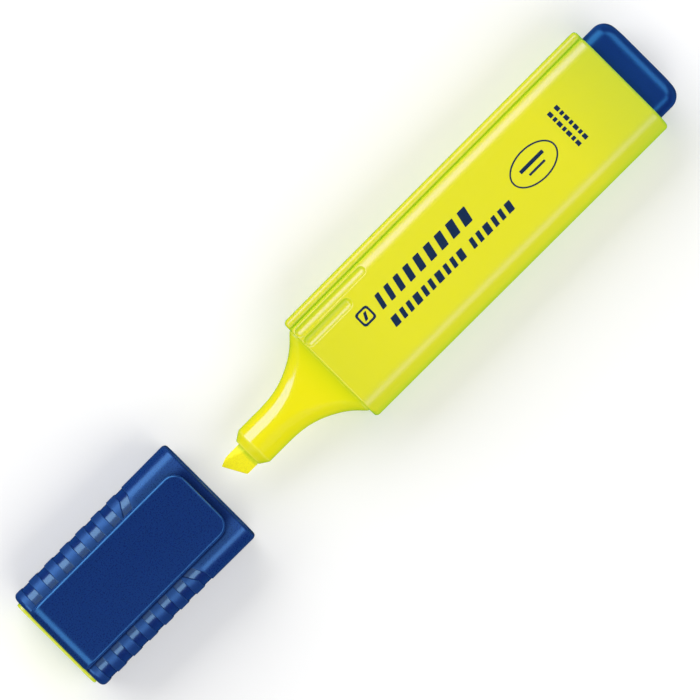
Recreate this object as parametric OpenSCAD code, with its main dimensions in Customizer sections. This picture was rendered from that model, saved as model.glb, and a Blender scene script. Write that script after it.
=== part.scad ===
// Flat-bodied capped highlighter with a chisel nib, its cap lying in front of the nib.
// +X runs towards the rear plug, +Y towards the beaded long edge, +Z towards the clip face.
// The origin is the middle of the barrel's flat back face, which is what the pen rests on.

/* [Barrel] */
// Length of the barrel from the front shoulder to the rear edge
barrel_l = 83.3; // [70:0.1:100]
// Width of the barrel across its broad faces
barrel_w = 27; // [26.6:0.1:30]
// Thickness of the barrel between its broad faces
barrel_t = 17; // [16.8:0.1:19]
// Radius of the long rounded corners of the barrel section
barrel_r = 4.7; // [3.5:0.1:5]
// Radius that breaks the front and rear edges of the barrel
barrel_edge_r = 0.9; // [0.4:0.1:1.4]
// Width of the tube inside the barrel
bore_w = 22.7; // [22:0.1:23]
// Thickness of the tube inside the barrel
bore_t = 12.7; // [12:0.1:13]
// Corner radius of the tube inside the barrel
bore_r = 2.6; // [2:0.1:3.5]
// Distance from the centre plane to the line of the bead's valley
valley_y = 11.75; // [11.4:0.05:12]
// Half the width of the bead's valley
valley_r = 0.42; // [0.3:0.02:0.6]

/* [Grip grooves] */
// Distance of the outer grip groove from the centre plane
groove1_y = 9.71; // [9.3:0.05:10.1]
// Width of the outer grip groove
groove1_w = 2.07; // [1.6:0.05:2.2]
// Length of the outer grip groove
groove1_l = 19.5; // [12:0.5:30]
// Distance of the inner grip groove from the centre plane
groove2_y = 7.03; // [6.6:0.05:7.4]
// Width of the inner grip groove
groove2_w = 2.5; // [1.8:0.05:2.7]
// Length of the inner grip groove
groove2_l = 13; // [8:0.5:24]
// Depth of both grip grooves
groove_d = 0.55; // [0.3:0.05:0.8]

/* [Nose] */
// Length of the flare from the shoulder to the straight snout
flare_l = 16; // [14:0.5:17]
// Power of the curve that the flare follows
flare_n = 2.36; // [1.8:0.02:2.8]
// Radius of the straight snout
snout_r = 4.5; // [4.2:0.05:4.7]
// Length from the shoulder to the snout's end
nose_l = 23.6; // [22:0.1:25]
// Length of the bevel at the snout's end
snout_bevel_l = 1.9; // [1:0.1:2.5]
// Radius at the snout's front rim
rim_r = 3.45; // [3.4:0.05:3.8]
// Length of the spigot pressed into the barrel
spigot_l = 12; // [8:0.5:16]
// Wall of the spigot
spigot_wall = 0.95; // [0.8:0.05:1.1]

/* [Nib] */
// Radius of the nib bar
nib_r = 3.11; // [2.8:0.01:3.15]
// Reach of the nib's tip in front of the snout
nib_out = 5.7; // [4:0.1:7]
// Rear end of the nib measured behind the shoulder
nib_rear = 3.9; // [2:0.1:4]
// Angle of the slanted writing edge to the pen's axis
edge_angle = 61.2; // [50:0.1:75]
// Half the wedge angle between the two writing faces
wedge_half = 31; // [20:1:40]

/* [Ink reservoir] */
// Width of the fibre core
core_w = 20.2; // [16:0.1:20.3]
// Thickness of the fibre core
core_t = 10.2; // [9:0.1:10.3]
// Length of the fibre core
core_l = 68; // [50:1:70]
// Thickness of the film wrapped round the core
film = 0.12; // [0.08:0.01:0.15]

/* [Rear plug] */
// Width of the part of the rear plug that stands out
plug_w = 22.6; // [21:0.1:22.8]
// Thickness of the part of the rear plug that stands out
plug_t = 12.6; // [11.5:0.1:12.8]
// How far the rear plug stands out of the barrel
plug_out = 6.5; // [3:0.1:9]
// Radius of the plug's rear corners seen from above
plug_corner_r = 3.2; // [2:0.1:5]
// Length of the plug inside the barrel
plug_in = 6; // [4:0.5:9]

/* [Cap] */
// Length of the cap shell
cap_l = 43.3; // [40:0.1:48]
// Width of the cap shell
cap_w = 26.2; // [26:0.1:26.6]
// Thickness of the cap shell
cap_t = 16.6; // [16.4:0.1:16.8]
// Radius of the long rounded corners of the cap
cap_r = 4; // [3.6:0.1:4.8]
// Width of the space inside the cap
cap_in_w = 23.3; // [23.1:0.1:23.6]
// Thickness of the space inside the cap
cap_in_t = 13.6; // [13.2:0.1:13.8]
// Clear gap between the nib's tip and the cap's mouth with the cap taken off
cap_gap = 5; // [1:0.5:20]
// First finger rib recess, measured from the cap's mouth
rib_first = 12.25; // [10:0.05:14]
// Spacing of the finger rib recesses
rib_pitch = 4.45; // [4:0.05:4.6]
// Width of each recess
rib_w = 2.2; // [1.6:0.05:2.6]
// Number of recesses on each side
rib_count = 7; // [3:1:7]
// Depth of the recesses
rib_d = 0.28; // [0.1:0.02:0.4]

/* [Clip] */
// Width of the clip
clip_w = 16.4; // [14:0.1:16.6]
// Distance from the cap's mouth to the clip's free end
clip_start = 1.86; // [1:0.1:6]
// Thickness of the clip blade
clip_t = 1.6; // [1.2:0.1:2]
// Gap between the clip blade and the cap
clip_gap = 0.8; // [0.5:0.1:1.5]
// Corner radius of the clip's free end
clip_corner_r = 3.1; // [1:0.1:5]
// Length of the clip's root along the cap
clip_root = 2.2; // [1.6:0.1:3]
// Radius of the roll that leads from the clip blade down to the cap
clip_roll = 2.3; // [1:0.1:2.3]

/* [Cap insert] */
// Width of the coloured end plate
plate_w = 22.2; // [20:0.1:22.4]
// Thickness of the coloured end plate
plate_t = 12.4; // [11:0.1:12.6]
// How far the end plate stands out of the cap
plate_out = 0.7; // [0.2:0.1:1.5]
// Inside radius of the sealing sleeve, which closes on the snout
seal_r = 4.56; // [4.54:0.01:4.6]
// Wall of the sealing sleeve
seal_wall = 1.25; // [0.8:0.05:1.5]

/* [Hidden] */
$fn = 64;

gap = 0.05;                  // assembly gap between pieces that stay put
over = 1;                    // overrun of cutters past the faces they cut
tip_x = -nose_l - nib_out;   // the nib's tip, from the shoulder
core_x = nib_rear + 0.15;    // the reservoir's front end, from the shoulder

// Snap grooves in the bore, and the beads that click into them
nose_snap_x = 8;
plug_snap_x = barrel_l - 4.6;
snap_groove_l = 1.2;
snap_groove_d = 0.25;
snap_play = 0.1;             // free length at each end of a bead

cap_wall = 1.4;              // closed end of the cap
cap_in_r = 3;
plate_r = 2.15;

yellow = [0.92, 0.92, 0.12];
nose_yellow = [0.95, 0.92, 0.10];
nib_yellow = [0.92, 0.88, 0.08];
core_yellow = [0.90, 0.88, 0.30];
film_grey = [0.85, 0.88, 0.85];
blue = [0.06, 0.19, 0.46];
dark_blue = [0.06, 0.15, 0.38];

// Frame on the pen's axis, with x = 0 at the front shoulder
module at_shoulder() {
    translate([-barrel_l / 2, 0, barrel_t / 2]) children();
}

// Frame on the pen's axis, with x = 0 at the cap's mouth
module at_mouth() {
    at_shoulder() translate([tip_x - cap_gap, 0, 0]) children();
}

// Flat rounded rectangle about the centre
module rrect(w, h, r) {
    square([w - 2 * r, h], center = true);
    square([w, h - 2 * r], center = true);
    for (i = [-1, 1], j = [-1, 1])
        translate([i * (w / 2 - r), j * (h / 2 - r)]) circle(r);
}

// Bar along +X from start, whose section is drawn in the (y, z) plane
module bar(start, length) {
    translate([start, 0, 0]) rotate([90, 0, 90]) linear_extrude(length) children();
}

// Turns a solid that stands on z = 0 to run along +X from start
module along_x(start) {
    translate([start, 0, 0]) rotate([0, 90, 0]) children();
}

// Extrudes an (x, y) outline to both sides of the centre plane
module from_above(depth) {
    translate([0, 0, -depth / 2]) linear_extrude(depth) children();
}

// Extrudes an (x, z) outline to both sides of the pen's axis
module from_side(depth) {
    translate([0, depth / 2, 0]) rotate([90, 0, 0]) linear_extrude(depth) children();
}

// Block with rounded corners seen from above, and others seen from the side
module outline_block(length, w, t, above_r, side_r) {
    intersection() {
        from_above(2 * t) translate([length / 2, 0]) rrect(length, w, above_r);
        from_side(2 * w) translate([length / 2, 0]) rrect(length, t, side_r);
    }
}

// What is cut away to round a corner, about the centre of its arc.
// The sides are 1 or -1 and say which quadrant the corner is in.
module corner_waste(r, side_x, side_y) {
    size = r + over;
    difference() {
        translate([side_x > 0 ? 0 : -size, side_y > 0 ? 0 : -size]) square(size);
        circle(r);
    }
}

// Section of the barrel's bore, grown outwards all round
module bore_section(grow) {
    rrect(bore_w + 2 * grow, bore_t + 2 * grow, bore_r + grow);
}

module snap_groove(start) {
    bar(start, snap_groove_l) bore_section(snap_groove_d);
}

module snap_bead(groove_start) {
    bar(groove_start + snap_play, snap_groove_l - 2 * snap_play)
        bore_section(snap_groove_d - gap);
}

// Height of the barrel's face above the centre plane, at a distance y from the axis
function face_z(y) =
    let (past_flat = max(0, abs(y) - (barrel_w / 2 - barrel_r)))
    barrel_t / 2 - barrel_r + sqrt(pow(barrel_r, 2) - pow(past_flat, 2));

// Cutter for a stadium-ended channel with a round bottom, near the front edge
module grip_groove(y, width, length) {
    setback = 0.15;
    end_r = width / 2;
    run = length - width;
    bottom_r = (pow(end_r, 2) + pow(groove_d, 2)) / (2 * groove_d);
    translate([0, y, face_z(y) - barrel_t / 2]) intersection() {
        translate([setback + end_r, 0, 0]) linear_extrude(barrel_t) {
            circle(end_r);
            translate([0, -end_r]) square([run, width]);
            translate([run, 0]) circle(end_r);
        }
        translate([0, 0, barrel_t / 2 - groove_d + bottom_r])
            along_x(-over) cylinder(r = bottom_r, h = length + 4);
    }
}

// Everything cut along one long edge: the bead's valley and the two grip grooves
module edge_details() {
    valley_lift = 0.02;
    bar(-over, barrel_l + 2 * over)
        translate([valley_y, face_z(valley_y) + valley_lift]) circle(valley_r);
    grip_groove(groove1_y, groove1_w, groove1_l);
    grip_groove(groove2_y, groove2_w, groove2_l);
}

module barrel() {
    color(yellow) at_shoulder() difference() {
        intersection() {
            bar(0, barrel_l) rrect(barrel_w, barrel_t, barrel_r);
            outline_block(barrel_l, barrel_w, barrel_t, barrel_edge_r, barrel_edge_r);
        }
        bar(-over, barrel_l + 2 * over) bore_section(0);
        snap_groove(nose_snap_x);
        snap_groove(plug_snap_x);
        // clip face at +Y, and back face at -Y
        edge_details();
        rotate([180, 0, 0]) edge_details();
    }
}

// Flare of the nose at a distance s in front of the shoulder:
// the share left of its growth over the snout, its half sizes and its corner radius
function flare_share(s) = s < flare_l ? pow(1 - s / flare_l, flare_n) : 0;
function flare_half(s, bore_size) =
    snout_r + (bore_size / 2 - 0.02 - snout_r) * flare_share(s);
function flare_corner(s) =
    min(flare_half(s, bore_t), snout_r + (bore_r - snout_r) * pow(flare_share(s), 0.55)) - 0.03;

// Points of a rounded rectangle of given half sizes, with count points to each corner
function ring(half_w, half_t, r, count) = [
    for (quarter = [0:3], k = [0:count - 1])
        let (angle = 90 * (quarter + k / (count - 1)),
             side_y = (quarter == 0 || quarter == 3) ? 1 : -1,
             side_z = quarter < 2 ? 1 : -1)
        [side_y * (half_w - r) + r * cos(angle), side_z * (half_t - r) + r * sin(angle)]];

module flare() {
    per_corner = 9;
    per_ring = 4 * per_corner;
    steps = 20;
    overlap = 0.4;           // reach into the snout
    crowding = 1.15;         // power that draws the rings towards the shoulder
    stations = [for (i = [0:steps]) (flare_l + overlap) * pow(i / steps, crowding)];
    points = [
        for (s = stations)
            for (p = ring(flare_half(s, bore_w), flare_half(s, bore_t), flare_corner(s), per_corner))
                [-s, p[0], p[1]]];
    sides = [
        for (i = [0:steps - 1], j = [0:per_ring - 1])
            let (k = (j + 1) % per_ring, here = i * per_ring, next = here + per_ring)
            each [[here + j, here + k, next + j], [here + k, next + k, next + j]]];
    ends = [
        [for (j = [per_ring - 1:-1:0]) j],
        [for (j = [0:per_ring - 1]) steps * per_ring + j]];
    polyhedron(points, concat(sides, ends), convexity = 4);
}

// Straight snout with a bevelled, rounded rim
module snout() {
    length = nose_l - flare_l;
    translate([-flare_l, 0, 0]) rotate([0, -90, 0]) rotate_extrude() polygon([
        [0, 0],
        [snout_r, 0],
        [snout_r, length - snout_bevel_l],
        [rim_r + 0.15, length - 0.3],
        [rim_r, length],
        [0, length]]);
}

module nose() {
    chamber_x = 4;
    chamber_r = 4.8;
    chamber_inset = 2 * (gap + spigot_wall);
    air_reach = 4;           // to either side of the flare's front end
    air_gap = 0.5;
    color(nose_yellow) at_shoulder() difference() {
        union() {
            flare();
            snout();
            // spigot pressed into the barrel
            bar(-0.01, spigot_l) bore_section(-gap);
            snap_bead(nose_snap_x);
        }
        // nib channel
        along_x(-nose_l - over) cylinder(r = nib_r + gap, h = nose_l + over + chamber_x + 0.5);
        // air space round the nib
        along_x(-flare_l - air_reach) cylinder(r = nib_r + air_gap, h = 2 * air_reach);
        // chamber that takes the front of the reservoir
        bar(chamber_x, spigot_l) rrect(bore_w - chamber_inset, bore_t - chamber_inset, chamber_r);
    }
}

module nib() {
    tip_y = 1.62;
    flat_y = 2.46;           // flat on the +Y side
    bevel_l = 1.95;          // bevel from the tip to the flat
    clear_y = 4;             // outside the nib bar
    edge_half_t = 0.28;
    wedge_l = 10;
    wedge_half_t = edge_half_t + wedge_l * tan(wedge_half);
    color(nib_yellow) at_shoulder() intersection() {
        along_x(tip_x - over) cylinder(r = nib_r, h = nib_rear - tip_x + over);
        // side flat and bevel, and the slanted edge, seen from above
        from_above(10) polygon([
            [nib_rear, -clear_y],
            [tip_x + (tip_y + clear_y) / tan(edge_angle), -clear_y],
            [tip_x, tip_y],
            [tip_x + bevel_l, flat_y],
            [-nose_l + 1, flat_y],
            [-nose_l + 2, clear_y],
            [nib_rear, clear_y]]);
        // the two writing faces close in on the slanted edge
        translate([tip_x, tip_y, 0]) rotate([0, 0, edge_angle - 90]) from_side(40) polygon([
            [0, edge_half_t], [wedge_l, wedge_half_t], [50, 40],
            [50, -40], [wedge_l, -wedge_half_t], [0, -edge_half_t]]);
    }
}

// Section of the fibre core, grown outwards all round
module core_section(grow) {
    rrect(core_w + 2 * grow, core_t + 2 * grow, core_t / 2 - 0.01 + grow);
}

module ink_reservoir() {
    color(core_yellow) at_shoulder() bar(core_x, core_l) core_section(0);
}

module reservoir_film() {
    film_gap = 0.02;
    bare_end = 0.5;          // core left uncovered at each end
    color(film_grey) at_shoulder() difference() {
        bar(core_x + bare_end, core_l - 2 * bare_end) core_section(film_gap + film);
        bar(0, core_l + 20) core_section(film_gap);
    }
}

module rear_plug() {
    end_x = barrel_l + plug_out;
    inner_x = barrel_l - plug_in;
    end_wall = 1.6;
    side_wall = 1.5;
    hollow_r = 1.6;
    side_corner_r = 3.2;     // rear corners seen from the side
    block_l = 50;
    rib_t = 1.2;
    rib_x = core_x + core_l + 0.1;
    rib_l = end_x - 1.2 - rib_x;

    // cross rib that holds the reservoir forward
    module cross_rib() {
        for (size = [[rib_t, plug_t - 2.2], [14, rib_t]])
            translate([rib_x, -size[0] / 2, -size[1] / 2]) cube([rib_l, size[0], size[1]]);
    }

    color(dark_blue) at_shoulder() difference() {
        union() {
            // crowned head that stands out of the barrel
            intersection() {
                bar(barrel_l + gap, plug_out - gap) rrect(plug_w, plug_t, bore_r);
                translate([end_x - block_l, 0, 0])
                    outline_block(block_l, plug_w, plug_t, plug_corner_r, side_corner_r);
            }
            // spigot inside the barrel
            bar(inner_x, plug_in + 1) bore_section(-gap);
            snap_bead(plug_snap_x);
        }
        // the hollow inside, with the rib left standing
        difference() {
            bar(inner_x - over, end_x - end_wall - inner_x + over)
                rrect(plug_w - 2 * side_wall, plug_t - 2 * side_wall, hollow_r);
            cross_rib();
        }
    }
    color(dark_blue) at_shoulder() cross_rib();
}

// Recess plan on the +Y side: straight bands, the first one bent towards the closed end
module rib_plan() {
    inner_y = 8.3;
    bend_y = 11.3;
    outer_y = 20;            // outside the cap
    for (i = [0:rib_count - 1]) {
        front_x = -rib_first - i * rib_pitch - rib_w;
        rear_x = front_x + rib_w;
        if (i == 0)
            polygon([
                [rear_x, outer_y], [front_x, outer_y], [front_x, bend_y],
                [front_x - 1.9, inner_y], [front_x + 0.7, inner_y], [rear_x, bend_y]]);
        else
            translate([front_x, inner_y]) square([rib_w, outer_y - inner_y]);
    }
}

module cap_shell() {
    edge_r = 0.95;
    color(blue) at_mouth() difference() {
        translate([-cap_l, 0, 0]) intersection() {
            bar(0, cap_l) rrect(cap_w, cap_t, cap_r);
            outline_block(cap_l, cap_w, cap_t, edge_r, edge_r);
        }
        // recessed finger bands round both narrow sides
        difference() {
            from_above(2 * cap_t) {
                rib_plan();
                mirror([0, 1]) rib_plan();
            }
            bar(-cap_l - over, cap_l + 2 * over)
                rrect(cap_w - 2 * rib_d, cap_t - 2 * rib_d, cap_r);
        }
        // space inside, and the smaller window in the closed end
        bar(-cap_l + cap_wall, cap_l) rrect(cap_in_w, cap_in_t, cap_in_r);
        bar(-cap_l - over, 4) rrect(plate_w + 2 * gap, plate_t + 2 * gap, plate_r + gap);
    }
}

// Side shape of the clip: blade, rolled root and a grip lip under the free end
module clip_profile() {
    foot_z = cap_t / 2 + 0.06;
    under_z = cap_t / 2 + clip_gap;
    top_z = under_z + clip_t;
    end_r = 0.6;
    lip_r = 0.5;
    difference() {
        translate([-cap_l, foot_z]) square([cap_l - clip_start, top_z - foot_z]);
        translate([-cap_l + clip_root, foot_z - over]) square([cap_l, under_z - foot_z + over]);
        translate([-cap_l - 0.01 + clip_roll, top_z + 0.01 - clip_roll])
            corner_waste(clip_roll, -1, 1);
        translate([-clip_start - end_r, top_z - end_r]) corner_waste(end_r, 1, 1);
    }
    translate([-clip_start - 2.6, under_z - 0.05]) circle(lip_r);
}

// Plan shape of the clip: large corners at the free end, small ones at the root
module clip_plan() {
    root_r = 0.9;
    difference() {
        translate([-cap_l, -clip_w / 2]) square([cap_l - clip_start, clip_w]);
        for (side = [-1, 1]) {
            translate([-clip_start - clip_corner_r, side * (clip_w / 2 - clip_corner_r)])
                corner_waste(clip_corner_r, 1, side);
            translate([-cap_l + root_r, side * (clip_w / 2 - root_r)])
                corner_waste(root_r, -1, side);
        }
    }
}

module cap_clip() {
    color(blue) at_mouth() intersection() {
        from_side(clip_w) clip_profile();
        linear_extrude(20) clip_plan();
    }
}

module cap_insert() {
    plate_edge_r = 0.5;
    flange_l = 1.6;
    sleeve_x = -cap_l + 1.5;
    sleeve_end_x = -flare_l + 0.3;
    color(yellow) at_mouth() difference() {
        union() {
            // end plate that shows the ink colour, with its edge broken
            translate([-cap_l - plate_out, 0, 0]) intersection() {
                bar(0, plate_out + 2) rrect(plate_w, plate_t, plate_r);
                outline_block(40, plate_w, plate_t, plate_edge_r, plate_edge_r);
            }
            // flange that stops behind the closed end's lip
            bar(-cap_l + cap_wall + gap, flange_l)
                rrect(cap_in_w - 2 * gap, cap_in_t - 2 * gap, cap_in_r - gap);
            // sealing sleeve
            along_x(sleeve_x) cylinder(r = seal_r + seal_wall, h = sleeve_end_x - sleeve_x);
        }
        along_x(-cap_l + 2.6) cylinder(r = seal_r, h = cap_l);
        // lead-in at the sleeve's mouth
        along_x(sleeve_end_x - 0.8) cylinder(r1 = seal_r, r2 = seal_r + 0.7, h = 0.9);
    }
}

barrel();
nose();
nib();
ink_reservoir();
reservoir_film();
rear_plug();
cap_shell();
cap_clip();
cap_insert();
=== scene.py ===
# A flat-bodied marker pen with a chisel nib, and its ribbed cap with a clip.
# The pen lies along X: the nib points to -X, the rear plug to +X, and the broad faces
# look up and down. The cap's mouth faces +X, its closed end -X, and its clip is on top (+Z).
import math
from functools import cached_property

import bpy
import bmesh
import numpy as np
from mathutils import Matrix, Vector, noise


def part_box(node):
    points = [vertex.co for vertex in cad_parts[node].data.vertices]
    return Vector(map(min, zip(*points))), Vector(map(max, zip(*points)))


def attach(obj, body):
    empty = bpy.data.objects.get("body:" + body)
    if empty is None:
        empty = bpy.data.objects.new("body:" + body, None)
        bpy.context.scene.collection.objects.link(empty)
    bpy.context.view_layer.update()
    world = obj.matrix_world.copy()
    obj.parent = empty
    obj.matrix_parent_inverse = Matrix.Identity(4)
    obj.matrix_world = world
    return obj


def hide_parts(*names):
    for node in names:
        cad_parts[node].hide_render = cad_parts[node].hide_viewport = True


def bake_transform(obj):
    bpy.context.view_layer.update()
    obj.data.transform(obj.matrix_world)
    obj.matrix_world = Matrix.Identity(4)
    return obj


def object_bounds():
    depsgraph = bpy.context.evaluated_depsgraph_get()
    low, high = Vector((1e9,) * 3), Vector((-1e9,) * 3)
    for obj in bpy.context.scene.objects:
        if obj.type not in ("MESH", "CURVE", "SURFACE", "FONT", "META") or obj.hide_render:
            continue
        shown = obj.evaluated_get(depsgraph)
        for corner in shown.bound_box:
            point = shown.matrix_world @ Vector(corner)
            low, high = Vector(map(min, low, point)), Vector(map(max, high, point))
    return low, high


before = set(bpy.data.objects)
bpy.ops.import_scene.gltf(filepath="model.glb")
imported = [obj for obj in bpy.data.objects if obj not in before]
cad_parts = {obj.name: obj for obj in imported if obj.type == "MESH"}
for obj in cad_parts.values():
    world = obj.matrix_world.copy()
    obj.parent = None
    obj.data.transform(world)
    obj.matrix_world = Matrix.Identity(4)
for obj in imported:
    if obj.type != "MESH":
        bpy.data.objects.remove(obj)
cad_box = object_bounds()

# ---------------------------------------------------------------- frame
# Shapes are drawn in mm. Pen stations run from the shoulder towards +X; cap stations
# run from the mouth towards -X. Y and Z are measured from the pen's axis.
MM = 0.001
barrel_low, barrel_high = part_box("barrel")
cap_low, cap_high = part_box("cap_shell")
SHOULDER = barrel_low.x / MM
AXIS_Z = (barrel_low.z + barrel_high.z) / 2 / MM
BARREL_L = (barrel_high.x - barrel_low.x) / MM
CAP_MOUTH = cap_high.x / MM
CAP_L = (cap_high.x - cap_low.x) / MM


def pen(points):
    """Pen points in mm to metres in the frame."""
    p = np.asarray(points, float).copy()
    p[..., 0] += SHOULDER
    p[..., 2] += AXIS_Z
    return p * MM


def cap(points):
    """Cap points in mm to metres in the frame."""
    p = np.asarray(points, float).copy()
    p[..., 0] = CAP_MOUTH - p[..., 0]
    p[..., 2] += AXIS_Z
    return p * MM


def coords(ob):
    """Vertex positions in pen mm, one row per vertex."""
    co = np.empty(len(ob.data.vertices) * 3, np.float32)
    ob.data.vertices.foreach_get("co", co)
    return co.reshape(-1, 3).astype(float) / MM - [SHOULDER, 0, AXIS_Z]


# ---------------------------------------------------------------- mesh helpers
def make(name, verts, faces, sharp=40):
    """A smooth-shaded object whose edges above `sharp` degrees stay sharp."""
    me = bpy.data.meshes.new(name)
    me.from_pydata([tuple(v) for v in verts], [], faces)
    bm = bmesh.new()
    bm.from_mesh(me)
    bmesh.ops.remove_doubles(bm, verts=bm.verts, dist=1e-7)
    bmesh.ops.dissolve_degenerate(bm, edges=bm.edges, dist=1e-7)
    bmesh.ops.recalc_face_normals(bm, faces=bm.faces)
    bm.to_mesh(me)
    bm.free()
    me.polygons.foreach_set("use_smooth", [True] * len(me.polygons))
    me.set_sharp_from_angle(angle=math.radians(sharp))
    me.update()
    ob = bpy.data.objects.new(name, me)
    bpy.context.scene.collection.objects.link(ob)
    return ob


def store(ob, name, values):
    attribute = ob.data.attributes.new(name, "FLOAT", "POINT")
    attribute.data.foreach_set("value", np.asarray(values, np.float32))


def store_wear_and_sheen(ob, low=0.45, high=1.8):
    """Stores how sharply convex edges turn: 0 at `low` and 1 at `high` radians per mm. It drives
    edge scuffing, and on the nose a painted highlight line along the snout's bevel.
    """
    bm = bmesh.new()
    bm.from_mesh(ob.data)
    sharpest = np.zeros(len(bm.verts))
    centres = [face.calc_center_median() for face in bm.faces]
    for edge in bm.edges:
        sides = edge.link_faces
        if len(sides) != 2:
            continue
        angle = edge.calc_face_angle_signed(0.0)
        if angle <= 1e-4:
            continue
        gap = (centres[sides[0].index] - centres[sides[1].index]).length / MM
        if gap < 0.01:
            continue
        for vert in edge.verts:
            sharpest[vert.index] = max(sharpest[vert.index], angle / gap)
    bm.free()
    store(ob, "wear_and_sheen", np.clip((sharpest - low) / (high - low), 0, 1))


def loft(rings, closed=False, cap_start=False, cap_end=False):
    """Quads between rings of equal counts, with a fan over each capped end."""
    count = len(rings[0])
    verts = np.concatenate([np.asarray(ring, float) for ring in rings])
    faces = []
    for i in range(len(rings) if closed else len(rings) - 1):
        a, b = i * count, ((i + 1) % len(rings)) * count
        for j in range(count):
            k = (j + 1) % count
            faces.append((a + j, a + k, b + k, b + j))
    if cap_start:
        faces += [((j + 1) % count, j, len(verts)) for j in range(count)]
        verts = np.vstack([verts, np.mean(rings[0], axis=0)])
    if cap_end:
        last = (len(rings) - 1) * count
        faces += [(last + j, last + (j + 1) % count, len(verts)) for j in range(count)]
        verts = np.vstack([verts, np.mean(rings[-1], axis=0)])
    return verts, faces


def join(parts):
    """One vertex array and face list from several."""
    verts, faces, start = [], [], 0
    for part_verts, part_faces in parts:
        verts.append(np.asarray(part_verts, float))
        faces += [tuple(i + start for i in face) for face in part_faces]
        start += len(part_verts)
    return np.concatenate(verts), faces


def rounded_rect(half_w, half_h, radius, count):
    """`count` points round a rounded rectangle from (half_w, 0), even within each quarter."""
    radius = min(radius, half_w, half_h)
    side, top = half_h - radius, half_w - radius
    bend = radius * math.pi / 2
    total = side + bend + top
    quarter = []
    for i in range(count // 4):
        t = total * i / (count // 4)
        if t < side:
            quarter.append((half_w, t))
        elif t < side + bend:
            angle = (t - side) / max(radius, 1e-9)
            quarter.append((half_w - radius + radius * math.cos(angle),
                            half_h - radius + radius * math.sin(angle)))
        else:
            quarter.append((half_w - radius - (t - side - bend), half_h))
    quarter = np.array(quarter)
    # the second quarter mirrors the first, so its points run back from (0, half_h)
    second = np.vstack([quarter, [[0, half_h]]])[::-1][:-1] * [-1, 1]
    half = np.vstack([quarter, second])
    return np.vstack([half, -half])


def at_station(x, yz):
    """A flat YZ outline placed at one station."""
    yz = np.asarray(yz, float)
    return np.column_stack([np.full(len(yz), float(x)), yz])


def rect_ring(x, half_w, half_h, radius, count=160):
    return at_station(x, rounded_rect(half_w, half_h, radius, count))


def onto(points, half_w, half_h, radius):
    """The nearest points on a rounded rectangle to points outside it."""
    p = np.asarray(points, float)
    w, h = half_w - radius, half_h - radius
    core = np.column_stack([np.clip(p[:, 0], -w, w), np.clip(p[:, 1], -h, h)])
    away = p - core
    away /= np.maximum(np.linalg.norm(away, axis=1), 1e-9)[:, None]
    return core + radius * away


def fillet(t, radius):
    """How far a quarter-round edge has fallen at a distance t in from the edge."""
    t = np.clip(t, 0, radius)
    return radius - np.sqrt(np.maximum(radius * radius - (radius - t) ** 2, 0))


def smooth(t):
    """Eased step from 0 to 1."""
    t = np.clip(t, 0, 1)
    return t * t * (3 - 2 * t)


def edge_stations(radius, steps):
    """Distances in from an end that follow its quarter-round edge."""
    return [radius * (1 - math.cos(math.pi / 2 * i / steps)) for i in range(steps + 1)]


def spread(values, least):
    """Sorted values without those that follow within `least` of the last one kept."""
    values = sorted(values)
    out = [values[0]]
    for value in values[1:]:
        if value - out[-1] > least:
            out.append(value)
    return out


# ---------------------------------------------------------------- barrel
HALF_W, HALF_H = 13.5, 8.5
BORE_W, BORE_H, BORE_R = 11.35, 6.35, 2.6     # half width, half height, corner radius

# grip grooves: centre Y, width, rear end, depth
GROOVES = ((9.71, 2.07, 19.5, 0.58), (7.03, 2.5, 13.0, 0.62))
GROOVE_START = 0.15

# bore: station, growth of the bore outline; the two 0.25 pairs are snap grooves
BORE_STATIONS = [
    (BARREL_L, 0.22), (BARREL_L - 0.07, 0.07), (BARREL_L - 0.25, 0), (BARREL_L - 1, 0),
    (BARREL_L - 3.3, 0), (BARREL_L - 3.45, 0.25), (BARREL_L - 4.55, 0.25), (BARREL_L - 4.7, 0),
    (BARREL_L * 0.5, 0), (9.3, 0), (9.15, 0.25), (8.05, 0.25), (7.9, 0),
    (1, 0), (0.2, 0), (0.05, 0.05), (0, 0.15),
]


def arc(centre_y, centre_z, radius, start, end, count):
    t = np.radians(np.linspace(start, end, count))
    return np.column_stack([centre_y + radius * np.cos(t), centre_z + radius * np.sin(t)])


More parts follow.
